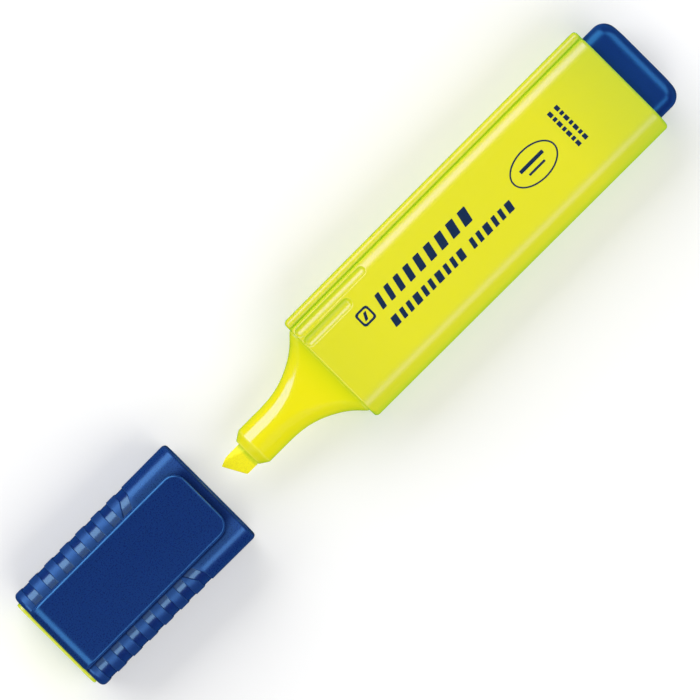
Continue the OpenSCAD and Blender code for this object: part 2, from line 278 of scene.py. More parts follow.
def barrel_section():
    """The section's points and outward normals.

    One half runs from the middle of the -Y side over the top face, a valley and a bead
    to the middle of the +Y side. The other half is the same turned by 180 degrees.
    """
    path = np.vstack([
        [[-HALF_W, 0]],
        arc(-6.92, 2.48, 6.58, 180, 130, 60),
        arc(-8.45, 4.3, 4.2, 129, 90, 40),
        arc(8.45, 4.3, 4.2, 90, 50, 40),
        [[11.24, 7.30], [11.32, 6.98], [11.40, 6.70], [11.48, 6.59], [11.55, 6.64]],
        arc(12.32, 6.02, 1.02, 132, 12, 26),
        [[13.44, 5.75], [13.49, 5.1], [HALF_W, 4.2], [HALF_W, 3], [HALF_W, 0]],
    ])
    # resample finely and blur the joints
    step, reach, blur = 0.02, 14, 0.075
    lengths = np.linalg.norm(np.diff(path, axis=0), axis=1)
    along = np.concatenate([[0], np.cumsum(lengths)])
    fine = np.arange(0, along[-1], step)
    p = np.column_stack([np.interp(fine, along, path[:, i]) for i in (0, 1)])
    kernel = np.exp(-0.5 * (np.arange(-reach, reach + 1) * step / blur) ** 2)
    kernel /= kernel.sum()
    padded = np.pad(p, ((reach, reach), (0, 0)), mode="edge")
    p = np.column_stack([np.convolve(padded[:, i], kernel, "valid") for i in (0, 1)])
    p[0], p[-1] = (-HALF_W, 0), (HALF_W, 0)
    # point spacing: fine over the grooves, the valley and the bead
    y, z = p[:, 0], p[:, 1]
    spacing = np.full(len(p), 0.9)
    spacing[(np.abs(y) > 8.6) & (z > 3.2)] = 0.28
    spacing[(y > 5.3) & (z > 5)] = 0.125
    spacing[(y > 11.3) & (z > 5.2)] = 0.085
    spacing = np.convolve(np.pad(spacing, 20, mode="edge"), np.ones(41) / 41, "valid")
    density = np.concatenate([[0], np.cumsum(step / spacing[:-1])])
    at = np.linspace(0, density[-1], int(math.ceil(density[-1])) + 1)
    half = np.column_stack([np.interp(at, density, p[:, i]) for i in (0, 1)])
    full = np.vstack([half[:-1], -half[:-1]])
    tangent = np.roll(full, -1, axis=0) - np.roll(full, 1, axis=0)
    normal = np.column_stack([-tangent[:, 1], tangent[:, 0]])
    normal /= np.linalg.norm(normal, axis=1)[:, None]
    if (normal * full).sum() < 0:
        normal = -normal
    return full, normal


def groove_depth(x, y):
    """Depth of the grip grooves at one station, for an array of Y."""
    total = np.zeros(len(y))
    soft = 0.045
    for centre_y, width, end, depth in GROOVES:
        r = width / 2
        centre_x = min(max(x, GROOVE_START + r), end - r)
        dist = np.hypot(x - centre_x, y - centre_y)
        ball = (r * r + depth * depth) / (2 * depth)
        dep = np.sqrt(np.maximum(ball * ball - dist ** 2, 0)) - (ball - depth)
        dep = np.where(dist < ball, dep, -1.0)
        total = np.maximum(total, 0.5 * (dep + np.sqrt(dep * dep + soft * soft)) * (dep > -0.35))
    return total


def build_barrel():
    section, normal = barrel_section()
    side = smooth((np.abs(section[:, 0]) - 10.8) / 2.2)
    front_r = 0.42 + 0.48 * side
    rear_r = 0.80
    front = (0, .012, .03, .06, .1, .15, .21, .28, .36, .45, .56, .68, .83, 1)
    stations = [0.95 * t for t in front]
    stations += list(np.arange(1.1, 20.4, 0.21)) + list(np.arange(20.8, BARREL_L - 1.4, 1.25))
    stations += [BARREL_L - t for t in edge_stations(rear_r, 8)]
    stations += [BARREL_L - 1.1, BARREL_L - 1.5]
    for _, width, end, _ in GROOVES:
        stations += list(np.arange(end - width / 2, end + 0.25, 0.1))
    grooved_top = (normal[:, 1] > 0.2) & (section[:, 0] > 0)
    grooved_bottom = (normal[:, 1] < -0.2) & (section[:, 0] < 0)
    rings = []
    for x in spread(stations, 0.008):
        inset = fillet(x, front_r) + fillet(BARREL_L - x, rear_r)
        p = section - normal * inset[:, None]
        p[:, 0] *= (13.4 + 0.2 * x / BARREL_L) / HALF_W     # slight taper to the front
        fade = smooth((x + 0.05) / 0.35)
        p[:, 1] -= np.where(grooved_top, groove_depth(x, p[:, 0]), 0) * fade
        p[:, 1] += np.where(grooved_bottom, groove_depth(x, -p[:, 0]), 0) * fade
        rings.append(at_station(x, p))
    for x, grow in BORE_STATIONS:
        rings.append(at_station(x, onto(section, BORE_W + grow, BORE_H + grow, BORE_R + grow)))
    verts, faces = loft(rings, closed=True)
    return make("barrel_visual", pen(verts), faces, sharp=42)


def shade_barrel(ob):
    """Painted shade: darkens the valley by the bead, the barrel's rear edge and each groove's outer
    wall, where shade would fall.
    """
    x, y, z = coords(ob).T
    y = y * np.where(z > 0, 1.0, -1.0)
    shade = np.exp(-((y - 11.53) / 0.21) ** 2)
    shade = np.maximum(shade, 0.62 * smooth((x - BARREL_L + 0.75) / 0.45))
    for centre_y, width, end, _ in GROOVES:
        r = width / 2
        dx, dy = x - np.clip(x, GROOVE_START + r, end - r), y - centre_y
        inside = smooth((r + 0.06 - np.hypot(dx, dy)) / 0.16)
        shade = np.maximum(shade, inside * smooth(dy / r / 0.85))
    store(ob, "shade", np.where(np.abs(z) > 5.2, shade, 0))


def spigot_ring(x, grow):
    """A ring of a plug that fits the bore, grown by `grow`."""
    return rect_ring(x, BORE_W + grow, BORE_H + grow, BORE_R + min(grow, 0))


# ---------------------------------------------------------------- nose
SNOUT_R = 4.5
FLARE_H = 6.33                                # half height at the shoulder

# flare: distance in front of the shoulder, half width
FLARE = [
    (0.0, 11.33), (0.2, 11.28), (0.7, 10.88), (1.26, 10.29), (2.75, 8.89), (4.24, 7.81),
    (5.73, 6.94), (7.22, 6.20), (8.71, 5.61), (10.19, 5.15), (11.68, 4.83), (13.17, 4.63),
    (14.66, 4.53), (16.15, SNOUT_R), (18.0, SNOUT_R),
]

# spigot in the barrel, rear to shoulder: station, growth of the bore outline
NOSE_SPIGOT = [
    (12.0, -0.5), (11.9, -0.25), (11.6, -0.05), (9.15, -0.05), (9.05, 0.2), (8.15, 0.2),
    (8.05, -0.05), (0.6, -0.05), (0.08, -0.05),
]

# snout up to the bevel, and the rim and nib hole after it: distance in front, radius
SNOUT = [
    (18.6, SNOUT_R), (19.6, SNOUT_R), (20.6, SNOUT_R), (21.3, SNOUT_R),
    (21.57, 4.497), (21.70, 4.475), (21.81, 4.43), (21.93, 4.37),
]
BEVEL_END = (23.08, 3.62)
RIM_AND_HOLE = [
    (23.2, 3.52), (23.34, 3.45), (23.46, 3.36), (23.54, 3.28), (23.59, 3.24), (23.6, 3.21),
    (23.56, 3.175), (23.4, 3.165), (22.8, 3.165), (20, 3.165), (12, 3.165), (0, 3.165),
    (-3.9, 3.165),
]


def monotone_cubic(table, x):
    """Monotone cubic through a table of (x, value)."""
    xs, ys = np.array(table, float).T
    h = np.diff(xs)
    d = np.diff(ys) / h
    slope = np.zeros(len(xs))
    total = d[:-1] + d[1:]
    slope[1:-1] = np.where(d[:-1] * d[1:] > 0,
                           2 * d[:-1] * d[1:] / np.where(total == 0, 1, total), 0)
    slope[0], slope[-1] = d[0], 0
    i = np.clip(np.searchsorted(xs, x, side="right") - 1, 0, len(h) - 1)
    t = (x - xs[i]) / h[i]
    return ((2 * t ** 3 - 3 * t ** 2 + 1) * ys[i] + (t ** 3 - 2 * t ** 2 + t) * h[i] * slope[i]
            + (-2 * t ** 3 + 3 * t ** 2) * ys[i + 1] + (t ** 3 - t ** 2) * h[i] * slope[i + 1])


def flare_ring(forward):
    """Between the barrel's rounded rectangle and the round snout."""
    half_w = float(monotone_cubic(FLARE, forward))
    flat = max(0.0, (half_w - SNOUT_R) / (FLARE[0][1] - SNOUT_R))
    half_h = SNOUT_R + (FLARE_H - SNOUT_R) * flat ** 0.9
    radius = SNOUT_R + (BORE_R - SNOUT_R) * flat ** 0.6
    return rect_ring(-forward, half_w, half_h, min(radius, half_h, half_w))


def build_nose():
    rings = [spigot_ring(x, grow) for x, grow in NOSE_SPIGOT]
    for forward in [0.0, 0.1, 0.2, 0.35, 0.5, 0.7] + list(np.arange(1.0, 17.9, 0.33)):
        rings.append(flare_ring(forward))
    (s0, r0), (s1, r1) = SNOUT[-1], BEVEL_END
    bevel = [(s0 + (s1 - s0) * t, r0 + (r1 - r0) * t) for t in (0.25, 0.5, 0.75, 1.0)]
    for forward, r in SNOUT + bevel + RIM_AND_HOLE:
        rings.append(rect_ring(-forward, r, r, r))
    # chamber round the front of the reservoir, back to the spigot's end
    for x, grow in ((4.0, 0), (4.3, 0), (11.8, 0), (12.0, 0.05)):
        rings.append(rect_ring(x, 10.35 + grow, 5.35 + grow, 4.8))
    verts, faces = loft(rings, closed=True)
    return make("nose_visual", pen(verts), faces)


def shade_nose(ob):
    """Painted shade: darkens the flare towards the shoulder."""
    x = coords(ob)[:, 0]
    store(ob, "shade", 0.6 * smooth((x + 7.0) / 7.0) * (x < 0.02))


# ---------------------------------------------------------------- nib
NIB_R = 3.11
NIB_TIP = np.array([-29.3, 1.62])             # ends of the writing edge, in X and Y
NIB_HEEL = np.array([-26.7, -NIB_R])
NIB_CUT_END = -22.5                           # behind this the bar is round
NIB_TOP_Y = 2.46                              # flat on the +Y side
NIB_BEVEL = (1.66, 0.43)                      # small bevel by the tip: Y at the tip, slope
WEDGE_SLOPE, WEDGE_HALF = 0.60, 0.24          # writing faces: slope, half height at the edge
FACET_NORMAL = np.array([-0.0594, 0.7278, 0.6833])
FACET_POINT = np.array([-23.85, 0.83, 2.89])
CUT_BLEND = 16.0                              # higher makes crisper edges between cuts


def nib_planes(in_x, in_y):
    """Planes that cut the nib: normal X, Y, Z and offset. (in_x, in_y) points into the nib."""
    tip_offset = in_x * NIB_TIP[0] + in_y * NIB_TIP[1]
    planes = []
    for side in (1, -1):
        unit = math.sqrt(1 + WEDGE_SLOPE * WEDGE_SLOPE)
        planes.append((-WEDGE_SLOPE * in_x / unit, -WEDGE_SLOPE * in_y / unit, side / unit,
                       (WEDGE_HALF - WEDGE_SLOPE * tip_offset) / unit))
        planes.append((FACET_NORMAL[0], FACET_NORMAL[1], side * FACET_NORMAL[2],
                       float(FACET_NORMAL @ FACET_POINT)))
    planes.append((0, 1, 0, NIB_TOP_Y))
    bevel_y, slope = NIB_BEVEL
    bevel = np.array([-slope, 1.0]) / math.hypot(slope, 1)
    planes.append((bevel[0], bevel[1], 0, float(bevel @ np.array([NIB_TIP[0], bevel_y]))))
    planes.append((-in_x, -in_y, 0, -tip_offset))
    return planes


def fibre_grain(x, y, z):
    coarse = noise.noise(Vector((x * 7.5, y * 7.5, z * 7.5)))
    return coarse + 0.6 * noise.noise(Vector((x * 16, y * 16, z * 16)))


def build_nib():
    """A round bar whose front is cut to a chisel, as rays from the middle of each station."""
    edge = (NIB_HEEL - NIB_TIP) / np.linalg.norm(NIB_HEEL - NIB_TIP)
    in_x, in_y = -edge[1], edge[0]
    planes = nib_planes(in_x, in_y)
    theta = np.linspace(0, 2 * math.pi, 300, endpoint=False)
    rays = np.column_stack([np.cos(theta), np.sin(theta)])
    stations = list(np.arange(-29.27, -29.0, 0.03)) + list(np.arange(-29.0, -22.4, 0.055))
    stations += [-22, -21, -15, -8, 0, 3.4, 3.7, 3.85, 3.9]
    rings = []
    for x in spread(stations, 0.01):
        cut = x < NIB_CUT_END
        high, low = 0.1, -0.1
        if cut:
            high = min(NIB_TOP_Y, NIB_BEVEL[0] + NIB_BEVEL[1] * (x - NIB_TIP[0]))
            low = max(-NIB_R, NIB_TIP[1] - (x - NIB_TIP[0]) * in_x / in_y)
            low = min(low, high - 0.05)
        centre = np.array([(high + low) / 2, 0.0])
        along = rays @ centre
        reach = -along + np.sqrt(np.maximum(along * along - (centre @ centre - NIB_R * NIB_R), 0))
        # a soft minimum of the distances to the bar and to each plane
        total = reach ** -CUT_BLEND
        for nx, ny, nz, offset in planes if cut else ():
            gap = offset - (nx * x + ny * centre[0] + nz * centre[1])
            facing = ny * rays[:, 0] + nz * rays[:, 1]
            reach = np.where(facing > 1e-6, max(gap, 0.004) / np.maximum(facing, 1e-6), 1e6)
            total = total + reach ** -CUT_BLEND
        radius = total ** (-1 / CUT_BLEND)
        if x > 3.6:
            radius = radius - 0.25 * (x - 3.6) / 0.3      # chamfer at the rear end
        if cut:
            y, z = centre[0] + rays[:, 0] * radius, rays[:, 1] * radius
            grain = np.array([fibre_grain(x, y[j], z[j]) for j in range(len(rays))])
            radius = radius + 0.022 * grain * min(1.0, (x - NIB_TIP[0]) / 0.6 + 0.25)
        rings.append(at_station(x, centre + rays * radius[:, None]))
    verts, faces = loft(rings, cap_start=True, cap_end=True)
    return make("nib_visual", pen(verts), faces, sharp=60)


def shade_nib(ob):
    """Painted shade: darkens the bar where it enters the nose's hole."""
    store(ob, "shade", smooth((coords(ob)[:, 0] + 24.7) / 0.9))


# ---------------------------------------------------------------- rear plug
PLUG_END = BARREL_L + 6.5
PLUG_W, PLUG_H = 11.30, 6.30                  # half width and half height of the head
PLUG_ROUND_Y, PLUG_ROUND_Z = 3.3, 3.2         # rounding of the end, across and in height
CROSS_START = 72.3

# spigot in the barrel: distance ahead of the barrel's rear, growth of the bore outline
PLUG_SPIGOT = [
    (6.0, -0.35), (5.9, -0.15), (5.6, -0.05), (4.5, -0.05), (4.4, 0.2), (3.6, 0.2),
    (3.5, -0.05), (0.3, -0.05),
]
# hollow: distance behind the barrel's rear, growth
PLUG_HOLLOW = [(-6.0, 0.15), (-5.8, 0), (-3, 0), (3, 0), (4.7, 0), (4.9, -0.2)]


def build_plug():
    rings = [spigot_ring(BARREL_L - ahead, grow) for ahead, grow in PLUG_SPIGOT]
    stations = [BARREL_L + t for t in (0.02, 0.5, 1.2, 2.0, 2.7)]
    stations += [PLUG_END - PLUG_ROUND_Y * (1 - math.sin(math.pi / 2 * t))
                 for t in np.linspace(0, 1, 26)]
    for x in spread(stations, 0.002):
        t = PLUG_END - x
        w = PLUG_W - float(fillet(t, PLUG_ROUND_Y))
        h = PLUG_H - float(fillet(t, PLUG_ROUND_Z))
        rings.append(rect_ring(x, w, h, min(2.9 + 0.6 * max(0, 1 - t / PLUG_ROUND_Y), w, h)))
    # slightly domed end face
    w, h = PLUG_W - PLUG_ROUND_Y, PLUG_H - PLUG_ROUND_Z
    for t in (0.96, 0.9, 0.8, 0.65, 0.45, 0.2):
        rings.append(rect_ring(PLUG_END + 0.10 * (1 - t * t), w * t, h * t, min(3.5, w, h) * t))
    outside = loft(rings, cap_end=True)
    hollow = [rect_ring(BARREL_L + x, 9.8 + grow, 4.8 + grow, 1.6) for x, grow in PLUG_HOLLOW]
    verts, faces = join([outside, loft(hollow, cap_end=True)])
    # the spigot's end face, between the outside and the hollow
    count, inner = len(rings[0]), len(outside[0])
    for j in range(count):
        k = (j + 1) % count
        faces.append((j, k, inner + k, inner + j))
    # cross rib in the hollow
    cross = []
    for w, h in ((0.6, 4.7), (6.6, 0.6)):
        bar = [rect_ring(x, w - inset, h - inset, 0.15, 24) for x, inset in
               ((CROSS_START, 0.12), (CROSS_START + 0.12, 0), (BARREL_L + 4.95, 0))]
        cross.append(loft(bar, cap_start=True, cap_end=True))
    verts, faces = join([(verts, faces)] + cross)
    return make("rear_plug_visual", pen(verts), faces)


# ---------------------------------------------------------------- cap shell
CAP_W, CAP_H, CAP_R = 13.13, 8.3, 4.0         # half width, half height, corner radius
CAP_MOUTH_ROUND, CAP_END_ROUND = 0.8, 1.1
RIB_START, RIB_PITCH, RIB_W, RIB_COUNT = 12.25, 4.45, 2.2, 7

CAVITY = (11.65, 6.8, 3.0)                    # half width, half height, corner radius
WINDOW = (11.16, 6.26, 2.2)                   # opening in the closed end, as above
WINDOW_DEPTH = 1.4


def cap_section():
    """The section's points from the middle of the top, and their outward normals."""
    flat = np.concatenate([np.arange(0, 7.9, 0.8), np.arange(8.0, CAP_W - CAP_R, 0.1)])
    quarter = np.vstack([
        np.column_stack([flat, np.full(len(flat), CAP_H)]),
        arc(CAP_W - CAP_R, CAP_H - CAP_R, CAP_R, 90, 0, 46),
        [(CAP_W, z) for z in np.linspace(CAP_H - CAP_R - 0.3, 0.0, 12)],
    ])
    half = np.vstack([quarter[:-1], quarter[::-1][:-1] * [1, -1]])
    full = np.vstack([half, -half])
    w, h = CAP_W - CAP_R, CAP_H - CAP_R
    normal = full - np.column_stack([np.clip(full[:, 0], -w, w), np.clip(full[:, 1], -h, h)])
    normal /= np.linalg.norm(normal, axis=1)[:, None]
    return full, normal


def rib_mask(d, y, soft=0.075):
    """1 inside the recesses along both sides of the cap, 0 on the raised bands between."""
    y = np.abs(y)
    bend = np.clip(11.3 - y, 0, 3.1)          # the first recess slants away from the mouth
    total = np.zeros(len(y))
    for i in range(RIB_COUNT):
        start = np.full(len(y), RIB_START + i * RIB_PITCH)
        end = start + RIB_W
        if i == 0:
            start = start + bend * 0.435
            end = end + bend * 0.571
        inside = smooth((d - start) / soft / 2 + 0.5) * smooth((end - d) / soft / 2 + 0.5)
        total = np.maximum(total, inside)
    return total * smooth((y - 8.22) / 0.16)


def cap_stations():
    stations = edge_stations(CAP_MOUTH_ROUND, 9)
    stations += [1.2, 2, 3, 4, 5, 6, 7, 8, 9, 10, 11, 11.6]
    stations += list(np.arange(12.0, 16.8, 0.075))
    for i in range(RIB_COUNT):
        start = RIB_START + i * RIB_PITCH
        for edge in (start, start + RIB_W):
            stations += [edge + o for o in (-.32, -.16, -.1, -.05, 0, .05, .1, .16, .32)]
        stations.append(start + RIB_W / 2)
    stations += list(np.arange(17, 42, 0.75)) + [41.7]
    stations += [CAP_L - t for t in edge_stations(CAP_END_ROUND, 10)]
    return spread(stations, 0.012)


def build_cap():
    section, normal = cap_section()
    corner = np.clip(2 * np.abs(normal[:, 0] * normal[:, 1]), 0, 1)
    rings = []
    for d in cap_stations():
        depth = (0.20 + 0.20 * corner) * rib_mask(d, section[:, 0])
        taper = -0.26 * d / CAP_L
        out = taper - depth - fillet(d, CAP_MOUTH_ROUND) - fillet(CAP_L - d, CAP_END_ROUND)
        rings.append(at_station(d, section + normal * out[:, None]))
    w, h, r = WINDOW
    inside = [(CAP_L, w + 0.12, h + 0.12, r + 0.12), (CAP_L - 0.12, w, h, r),
              (CAP_L - WINDOW_DEPTH, w, h, r)]
    w, h, r = CAVITY
    inside += [(d, w, h, r) for d in (CAP_L - WINDOW_DEPTH - 0.0001, 40, 30, 20, 10, 3, 0.7)]
    inside += [(d, w + grow, h + grow, r) for d, grow in ((0.35, 0.04), (0.12, 0.14), (0, 0.3))]
    for d, w, h, r in inside:
        rings.append(at_station(d, onto(section * 0.97, w, h, r)))
    verts, faces = loft(rings, closed=True)
    return make("cap_shell_visual", cap(verts), faces)


def shade_cap(ob):
    """Stores the smooth recesses, the matt bands, and a painted shadow by the clip's blade."""
    x, y, z = coords(ob).T
    d = CAP_MOUTH - (x + SHOULDER)
    recess = rib_mask(d, y, 0.12)
    store(ob, "recess", recess)
    band = smooth((d - 12.0) / 0.3) * smooth((42.6 - d) / 0.5) * smooth((np.abs(y) - 8.2) / 0.2)
    store(ob, "band", band * (1 - recess))
    # distance outside the blade's outline, then the painted shadow along its -Y edge and free end
    free_end, corner = 1.9, 3.0
    core_d, core_y = np.clip(d, free_end + corner, CAP_L), np.clip(y, -5.2, 5.2)
    outside = np.hypot(d - core_d, y - core_y) - corner
    under = smooth((outside + 2.0) / 0.5)
    edge = smooth((0.62 - outside) / 0.5) * under * (y < 0) * (d > free_end)
    end = np.clip(1.25 - 0.30 * outside, 0, 1) * (d <= free_end + corner)
    end = end * smooth((8.6 - np.abs(y)) / 2.6) * under
    store(ob, "shade", 0.93 * (z > 7.5) * np.maximum(edge, end))


# ---------------------------------------------------------------- clip
CLIP_FREE_END = 1.86                          # from the cap's mouth
CLIP_W = 8.2                                  # half width
CLIP_FREE_R, CLIP_ROOT_R = 3.1, 0.9           # corners in plan
CLIP_TOP_ROUND, CLIP_LOW_ROUND = 0.62, 0.3
CLIP_THICK = 1.6
CLIP_UNDERSIDE = CAP_H + 0.8

# insets of the rings over the flat faces, from the middle outwards
CLIP_INSETS = [
    8.12, 7.4, 6.2, 5.2, 4.4, 3.8, 3.3, 2.95, 2.75, 2.62, 2.5, 2.4, 2.3, 2.22, 2.14, 2.06,
    1.95, 1.8, 1.6, 1.4, 1.2, 1.0, 0.85, 0.72,
]


def clip_outline(inset):
    """The clip's outline in plan, inset: (distance from the mouth, Y)."""
    free = CLIP_FREE_END + (inset - 0.4 * min(inset, CLIP_TOP_ROUND))
    root, w = CAP_L - inset, CLIP_W - inset
    free_r, root_r = max(CLIP_FREE_R - inset, 0.03), max(CLIP_ROOT_R - inset, 0.03)
    side = np.concatenate([np.linspace(0, 0.09, 16), np.linspace(0.11, 0.9, 30),
                           np.linspace(0.92, 1, 8)])[1:-1]
    from_root, to_free = root - root_r, free + free_r

    def long_side(fractions, y):
        return [(from_root + (to_free - from_root) * s, y) for s in fractions]

    def short_side(d, half, count):
        return [(d, half * (1 - 2 * s)) for s in np.linspace(0, 1, count)[1:-1]]

    # round the +Y side to the free end, and back along the -Y side to the root
    return np.vstack([
        arc(from_root, w - root_r, root_r, 0, 90, 9),
        long_side(side, w),
        arc(to_free, w - free_r, free_r, 90, 180, 20),
        short_side(free, w - free_r, 20),
        arc(to_free, -(w - free_r), free_r, 180, 270, 20),
        long_side(side[::-1], -w),
        arc(from_root, -(w - root_r), root_r, 270, 360, 9),
        short_side(root, -(w - root_r), 26),
    ])


def clip_levels():
    """(inset, height over the underside), from the middle of the underside to that of the top."""
    levels = [(t, 0.0) for t in CLIP_INSETS + [0.6, 0.52, 0.45, 0.36]]
    r = CLIP_LOW_ROUND
    for a in np.radians(np.linspace(0, 90, 6)):
        levels.append((r - r * math.sin(a), r - r * math.cos(a)))
    levels += [(0, 0.6), (0, 0.85)]
    r = CLIP_TOP_ROUND
    for a in np.radians(np.linspace(0, 90, 10)):
        levels.append((r - r * math.cos(a), CLIP_THICK - r + r * math.sin(a)))
    return levels + [(t, CLIP_THICK) for t in CLIP_INSETS[::-1]]


def build_clip():
    rings = []
    for inset, height in clip_levels():
        d, y = clip_outline(inset).T
        # the root's top rolls down, and its underside steps down to the cap as a leg
        near_root = np.clip(1 - (CAP_L - d) / 3.0, 0, 1)
        roll = 2.3 * (1 - np.sqrt(np.maximum(1 - near_root * near_root, 0)))
        top = CLIP_UNDERSIDE + CLIP_THICK - roll
        leg = smooth((d - (CAP_L - 2.62)) / 0.45)
        bottom = CLIP_UNDERSIDE - leg * 0.92
        z = bottom + (height / CLIP_THICK) * (top - bottom)
        rings.append(np.column_stack([d, y, z]))
    verts, faces = loft(rings)
    count, last = len(rings[0]), (len(rings) - 1) * len(rings[0])
    faces.append(tuple(range(count)))
    faces.append(tuple(range(last, last + count))[::-1])
    # lip across the underside, near the free end
    lip = []
    angle = np.linspace(0, 2 * math.pi, 20, endpoint=False)
    for y in np.linspace(-6.0, 6.0, 25):
        r = 0.34 * math.sqrt(max(0.02, 1 - (abs(y) / 6.05) ** 6))
        lip.append(np.column_stack([4.5 + 0.55 * np.cos(angle) * (r / 0.34), np.full(20, y),
                                    CLIP_UNDERSIDE + 0.02 + r * np.sin(angle)]))
    verts, faces = join([(verts, faces), loft(lip, cap_start=True, cap_end=True)])
    return make("cap_clip_visual", cap(verts), faces)


# ---------------------------------------------------------------- cap insert
INSERT_W, INSERT_H, INSERT_R = 11.1, 6.2, 2.15     # end block, as the window
INSERT_END = CAP_L + 0.7
INSERT_ROUND = 0.32

# flange inside the closed end: station, half width, half height, corner radius
INSERT_FLANGE = [
    (CAP_L - 1.46, 11.6, 6.75, 2.95), (CAP_L - 2.9, 11.6, 6.75, 2.95),
    (CAP_L - 3.0, 11.5, 6.65, 2.9),
]
# tube towards the mouth, and back down its inside to its floor: station, radius
INSERT_TUBE = [
    (CAP_L - 3.0, 6.2), (CAP_L - 3.3, 5.85), (38, 5.81), (30, 5.81), (22, 5.81), (17.5, 5.81),
    (16.0, 5.81), (15.78, 5.74), (15.7, 5.6), (15.7, 5.3), (15.76, 5.2), (16.5, 4.6),
    (16.7, 4.56), (20, 4.56), (30, 4.56), (40.2, 4.56), (40.6, 4.4), (40.7, 4.0),
]


def build_insert():
    w, h, r = INSERT_W, INSERT_H, INSERT_R
    rings = [rect_ring(INSERT_END, w * t, h * t, r * t) for t in (0.1, 0.35, 0.6, 0.8, 0.92)]
    for a in np.radians(np.linspace(90, 0, 8)):
        inset = INSERT_ROUND - INSERT_ROUND * math.cos(a)
        d = INSERT_END - INSERT_ROUND + INSERT_ROUND * math.sin(a)
        rings.append(rect_ring(d, w - inset, h - inset, r - inset))
    rings += [rect_ring(CAP_L - t, w, h, r) for t in (0.4, 1.44)]
    rings += [rect_ring(*entry) for entry in INSERT_FLANGE]
    rings += [rect_ring(d, radius, radius, radius) for d, radius in INSERT_TUBE]
    verts, faces = loft(rings, cap_start=True, cap_end=True)
    return make("cap_insert_visual", cap(verts), faces)


# ---------------------------------------------------------------- printed marks
PRINT_LOW, PRINT_HIGH = HALF_H - 0.02, HALF_H + 0.014


def mark(outline, hole=None):
    """A thin flat mark on the top face: an outline, or a band round a hole of equal count."""
    p = np.asarray(outline, float)
    n = len(p)
    low, high = np.full(n, PRINT_LOW), np.full(n, PRINT_HIGH)
    if hole is None:
        verts = np.vstack([np.column_stack([p, low]), np.column_stack([p, high])])
        faces = [tuple(range(n))[::-1], tuple(range(n, 2 * n))]
        faces += [(j, (j + 1) % n, n + (j + 1) % n, n + j) for j in range(n)]
        return verts, faces
    q = np.asarray(hole, float)
    verts = np.vstack([np.column_stack(pair) for pair in ((p, high), (q, high), (q, low), (p, low))])
    faces = []
    for j in range(n):
        k = (j + 1) % n
        for a in range(4):
            b = (a + 1) % 4
            faces.append((a * n + j, a * n + k, b * n + k, b * n + j))
    return verts, faces


def rounded(points, radius, count=5):
    """A polygon with each corner replaced by a curve of `count` points."""
    p = [np.array(q, float) for q in points]
    out = []
    for i, b in enumerate(p):
        a, c = p[i - 1], p[(i + 1) % len(p)]
        start = b + (a - b) / np.linalg.norm(a - b) * radius
        end = b + (c - b) / np.linalg.norm(c - b) * radius
        for t in np.linspace(0, 1, count):
            out.append((1 - t) ** 2 * start + 2 * t * (1 - t) * b + t * t * end)
    return np.array(out)


def stroke(x0, x1, y0, y1, slant=0.0, radius=0.18, count=5):
    """A bar that leans along the pen by `slant` mm per mm of Y."""
    lean = slant * (y1 - y0)
    return mark(rounded([(x0, y0), (x1, y0), (x1 + lean, y1), (x0 + lean, y1)], radius, count))


def build_print():
    # square badge with a slanted stroke
    square = rounded([(11.1, 0.9), (14.5, 0.9), (14.5, 4.3), (11.1, 4.3)], 0.8, 8)
    middle = np.array([12.8, 2.6])
    parts = [mark(square, middle + (square - middle) * 0.72)]
    parts.append(mark(rounded([(12.0, 1.8), (12.75, 1.8), (13.6, 3.4), (12.85, 3.4)], 0.12)))
    # row on the +Y side: bold slanted strokes that widen towards the rear
    x = 16.2
    for i in range(9):
        width = 1.15 + 0.12 * i
        parts.append(stroke(x, x + width, 1.0, 4.3, slant=0.22))
        x += width + 1.36
    # row on the -Y side: slim strokes in two groups
    x = 15.6
    for i in range(16):
        width = 1.05 if i % 3 else 1.55
        parts.append(stroke(x, x + width, -3.4, -1.2, slant=0.18, radius=0.12))
        x += width + (0.85 if i != 9 else 2.1)
    # oval ring with two level strokes inside
    t = np.linspace(0, 2 * math.pi, 96, endpoint=False)
    outer, inner = [np.column_stack([58.4 + a * np.cos(t), 0.3 + b * np.sin(t)])
                    for a, b in ((5.9, 3.7), (5.55, 3.35))]
    parts.append(mark(outer, inner))
    parts.append(stroke(55.2, 61.6, 0.55, 1.35, radius=0.2))
    parts.append(stroke(56.2, 60.6, -0.95, -0.45, radius=0.15))
    # two columns of ticks at the rear
    for x in (67.3, 69.2):
        y = -3.6
        i = 0
        while y < 4.4:
            height = 0.75 if i % 2 else 1.15
            parts.append(stroke(x, x + 0.95, y, y + height, radius=0.1, count=4))
            y += height + 0.38
            i += 1
    verts, faces = join(parts)
    return make("barrel_print", pen(verts), faces, sharp=30)


# ---------------------------------------------------------------- materials
def srgb(*channels):
    """8-bit sRGB to a linear colour."""
    out = []
    for c in channels:
        c = c / 255.0
        out.append(c / 12.92 if c <= 0.04045 else ((c + 0.055) / 1.055) ** 2.4)
    return (*out, 1.0)


def scaled(colour, factor, limit=1.0):
    return tuple(min(c * factor, limit) for c in colour[:3]) + (1,)


